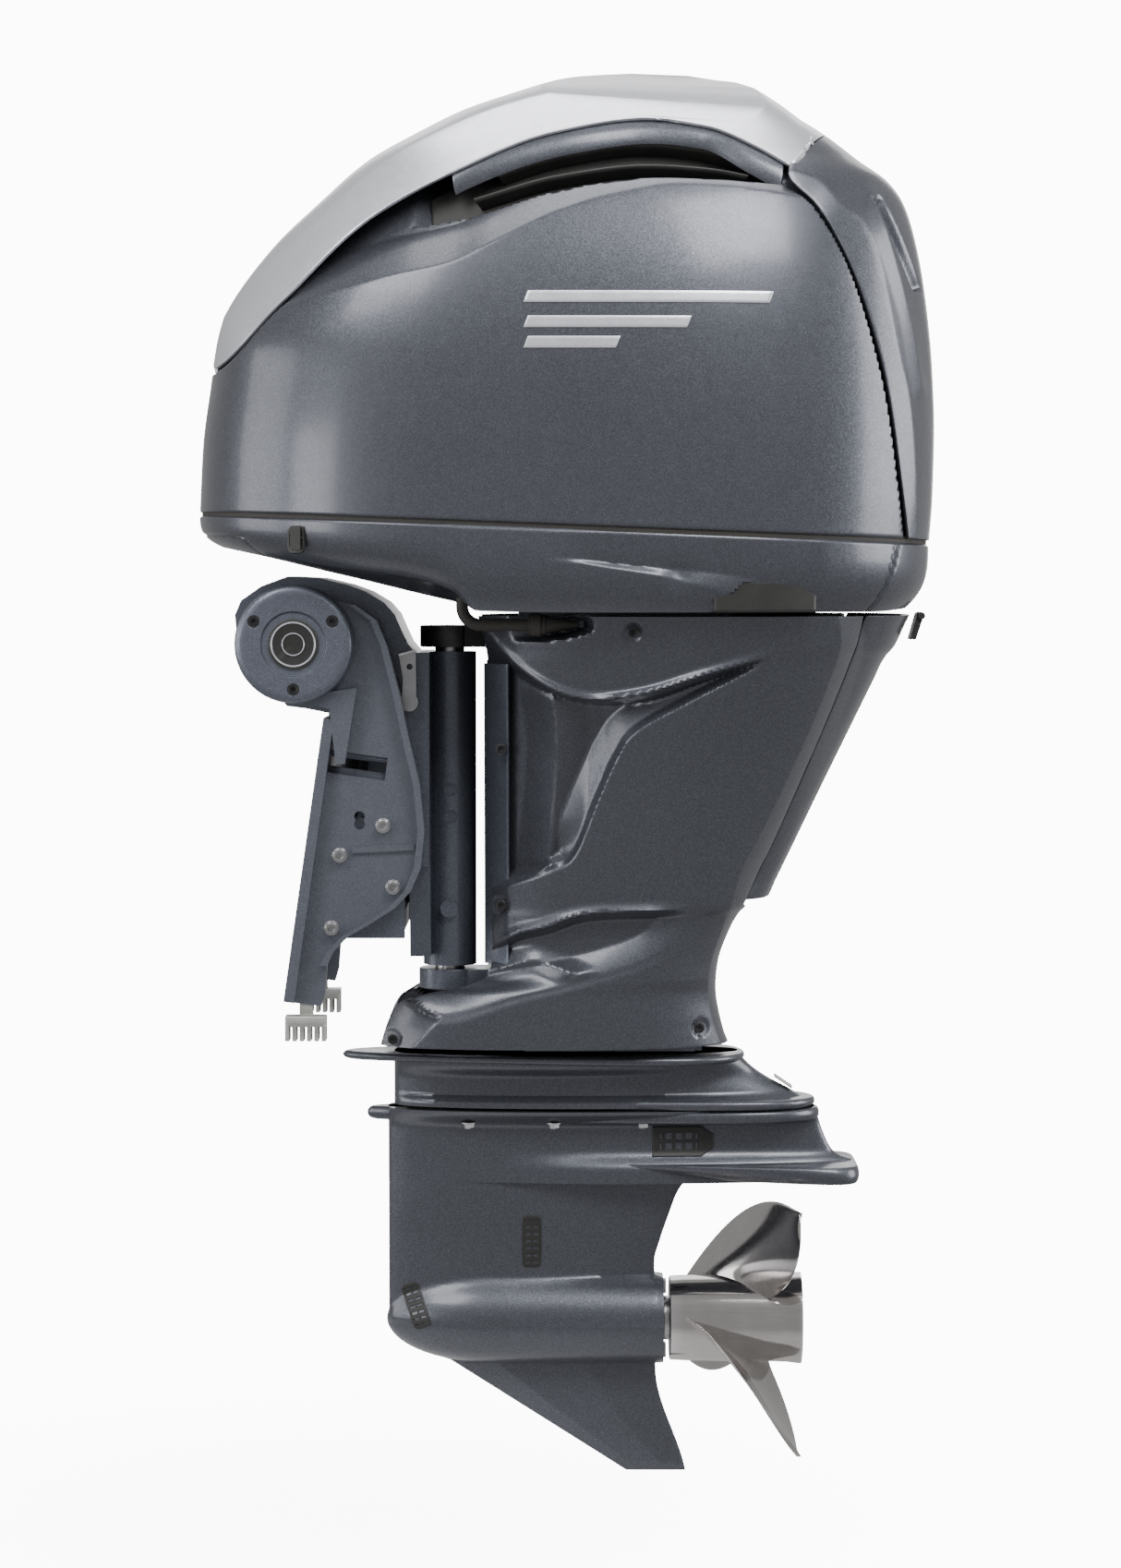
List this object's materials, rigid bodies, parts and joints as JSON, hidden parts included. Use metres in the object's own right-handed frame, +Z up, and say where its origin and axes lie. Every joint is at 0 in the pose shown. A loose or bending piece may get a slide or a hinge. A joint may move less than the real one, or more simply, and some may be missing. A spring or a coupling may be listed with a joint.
{
  "type": "outboard motor",
  "caption": "Large four-stroke outboard motor with lifting cowl, tilt and swivel brackets, long leg, gearcase and three-blade propeller.",
  "frame": {"origin": "on the mid plane, where the transom's aft face plane meets the transom's top edge", "axes": "+X aft, +Y to starboard, +Z up along the leg"},
  "size_m": [0.9828, 0.633, 1.8949],
  "materials": {
    "blue_grey_paint": "metallic satin gloss",
    "cowl_moulding": "metallic painted moulding",
    "silver_paint": "silver metallic painted moulding",
    "bracket_paint": "satin painted casting",
    "black_plastic": "fine grained black moulding",
    "black_rubber": "moulded rubber",
    "stainless": "satin stainless steel",
    "polished_stainless": "polished stainless steel",
    "zinc": "bare cast anode alloy",
    "cast_aluminium": "cast aluminium",
    "black_steel": "black coated steel",
    "gear_steel": "ground alloy steel",
    "bronze_bush": "oiled bearing bronze"
  },
  "bodies": {
    "transom_bracket": {"clamp_bracket_port": "bracket_paint", "clamp_bracket_starboard": "bracket_paint", "tilt_tube": "stainless", "tilt_cap_port": "bracket_paint", "tilt_cap_starboard": "bracket_paint", "cap_medallions": "silver_paint", "cap_screws": "black_steel", "bracket_bolts": "stainless", "bracket_anode": "zinc", "trim_tilt_housing": "bracket_paint", "trim_tilt_motor": "black_steel", "ram_lower_pin": "stainless"},
    "swivel": {"swivel_bracket": "bracket_paint", "swivel_bushes": "bronze_bush", "ram_upper_pin": "stainless"},
    "support_lever": {"tilt_support_lever": "stainless"},
    "tilt_barrel": {"tilt_cylinder": "black_steel"},
    "tilt_piston": {"tilt_rod": "stainless"},
    "trim_pistons": {"trim_rods": "stainless"},
    "motor": {"pivot_shaft": "stainless", "steering_arm": "black_steel", "lower_mount_bracket": "bracket_paint", "mount_rubbers": "black_rubber", "driveshaft_housing": "blue_grey_paint", "apron_port": "cowl_moulding", "apron_starboard": "cowl_moulding", "apron_rear_cover": "cowl_moulding", "apron_screws": "black_steel", "extension_case": "blue_grey_paint", "gearcase": "blue_grey_paint", "water_inlet_screens": "black_plastic", "exhaust_relief_grilles": "black_plastic", "gearcase_bolts": "stainless", "trim_anode": "zinc", "bearing_carrier": "cast_aluminium", "shaft_bearings": "gear_steel", "shift_rod": "stainless", "water_pump": "black_plastic", "lower_cowl": "cowl_moulding", "flush_hose": "black_rubber", "engine_block": "cast_aluminium", "cylinder_heads": "cast_aluminium", "intake_manifold": "black_plastic", "starter_motor": "cast_aluminium"},
    "crank": {"crankshaft": "gear_steel", "flywheel": "gear_steel", "driveshaft": "stainless", "pinion_gear": "gear_steel"},
    "prop": {"propeller": "polished_stainless", "propeller_shaft": "stainless", "forward_gear": "gear_steel", "thrust_washer": "bronze_bush", "propeller_nut": "stainless"},
    "reverse": {"reverse_gear": "gear_steel"},
    "cowl": {"top_cowl": "cowl_moulding", "cowl_visor": "silver_paint", "cowl_rear_panel": "cowl_moulding", "cowl_badges": "silver_paint"},
    "latch": {"cowl_latch_lever": "black_plastic"},
    "switch": {"tilt_switch_rocker": "black_plastic"}
  },
  "joints": [
    {"name": "tilt", "type": "hinge", "parent": "transom_bracket", "child": "swivel", "pos_m": [-0.037, 0, 0.097], "axis": [0, -1, 0], "range_deg": [0, 66]},
    {"name": "support_lever_swing", "type": "hinge", "parent": "swivel", "child": "support_lever", "pos_m": [0.11, -0.126, 0.019], "axis": [0, -1, 0], "range_deg": [0, 80]},
    {"name": "tilt_ram_swing", "type": "hinge", "parent": "transom_bracket", "child": "tilt_barrel", "pos_m": [-0.01, 0, -0.22], "axis": [0, -1, 0], "range_deg": [0, 4.62]},
    {"name": "tilt_ram_stroke", "type": "slide", "parent": "tilt_barrel", "child": "tilt_piston", "axis": [0.2095, 0, 0.9778], "range_m": [0, 0.1014]},
    {"name": "trim_ram_stroke", "type": "slide", "parent": "transom_bracket", "child": "trim_pistons", "axis": [0.6392, 0, 0.769], "range_m": [0, 0.0346]},
    {"name": "steer", "type": "hinge", "parent": "swivel", "child": "motor", "pos_m": [0.16, 0, 0], "axis": [0, 0, 1], "range_deg": [-30, 30]},
    {"name": "driveshaft_spin", "type": "hinge", "parent": "motor", "child": "crank", "pos_m": [0.3, 0, 0], "axis": [0, 0, 1], "continuous": true},
    {"name": "propeller_spin", "type": "hinge", "parent": "motor", "child": "prop", "pos_m": [0.5, 0, -0.826], "axis": [1, 0, 0], "continuous": true},
    {"name": "reverse_gear_spin", "type": "hinge", "parent": "motor", "child": "reverse", "pos_m": [0.34, 0, -0.826], "axis": [1, 0, 0], "continuous": true},
    {"name": "cowl_lift", "type": "slide", "parent": "motor", "child": "cowl", "axis": [0, 0, 1], "range_m": [0, 0.62]},
    {"name": "cowl_latch", "type": "hinge", "parent": "motor", "child": "latch", "pos_m": [0.796, 0, 0.132], "axis": [0, -1, 0], "range_deg": [0, 60]},
    {"name": "tilt_switch", "type": "hinge", "parent": "motor", "child": "switch", "pos_m": [-0.02848, -0.27184, 0.234], "axis": [0.9703, -0.2419, 0], "range_deg": [-6, 6], "stiffness_Nm_per_rad": 0.4}
  ],
  "couplings": [
    {"joint": "tilt_ram_swing", "follows": "tilt", "ratio": 0.07},
    {"joint": "tilt_ram_stroke", "follows": "tilt", "m_per_rad": 0.088},
    {"joint": "trim_ram_stroke", "follows": "tilt", "m_per_rad": 0.03},
    {"joint": "propeller_spin", "follows": "driveshaft_spin", "ratio": 0.57143},
    {"joint": "reverse_gear_spin", "follows": "driveshaft_spin", "ratio": -0.57143}
  ]
}
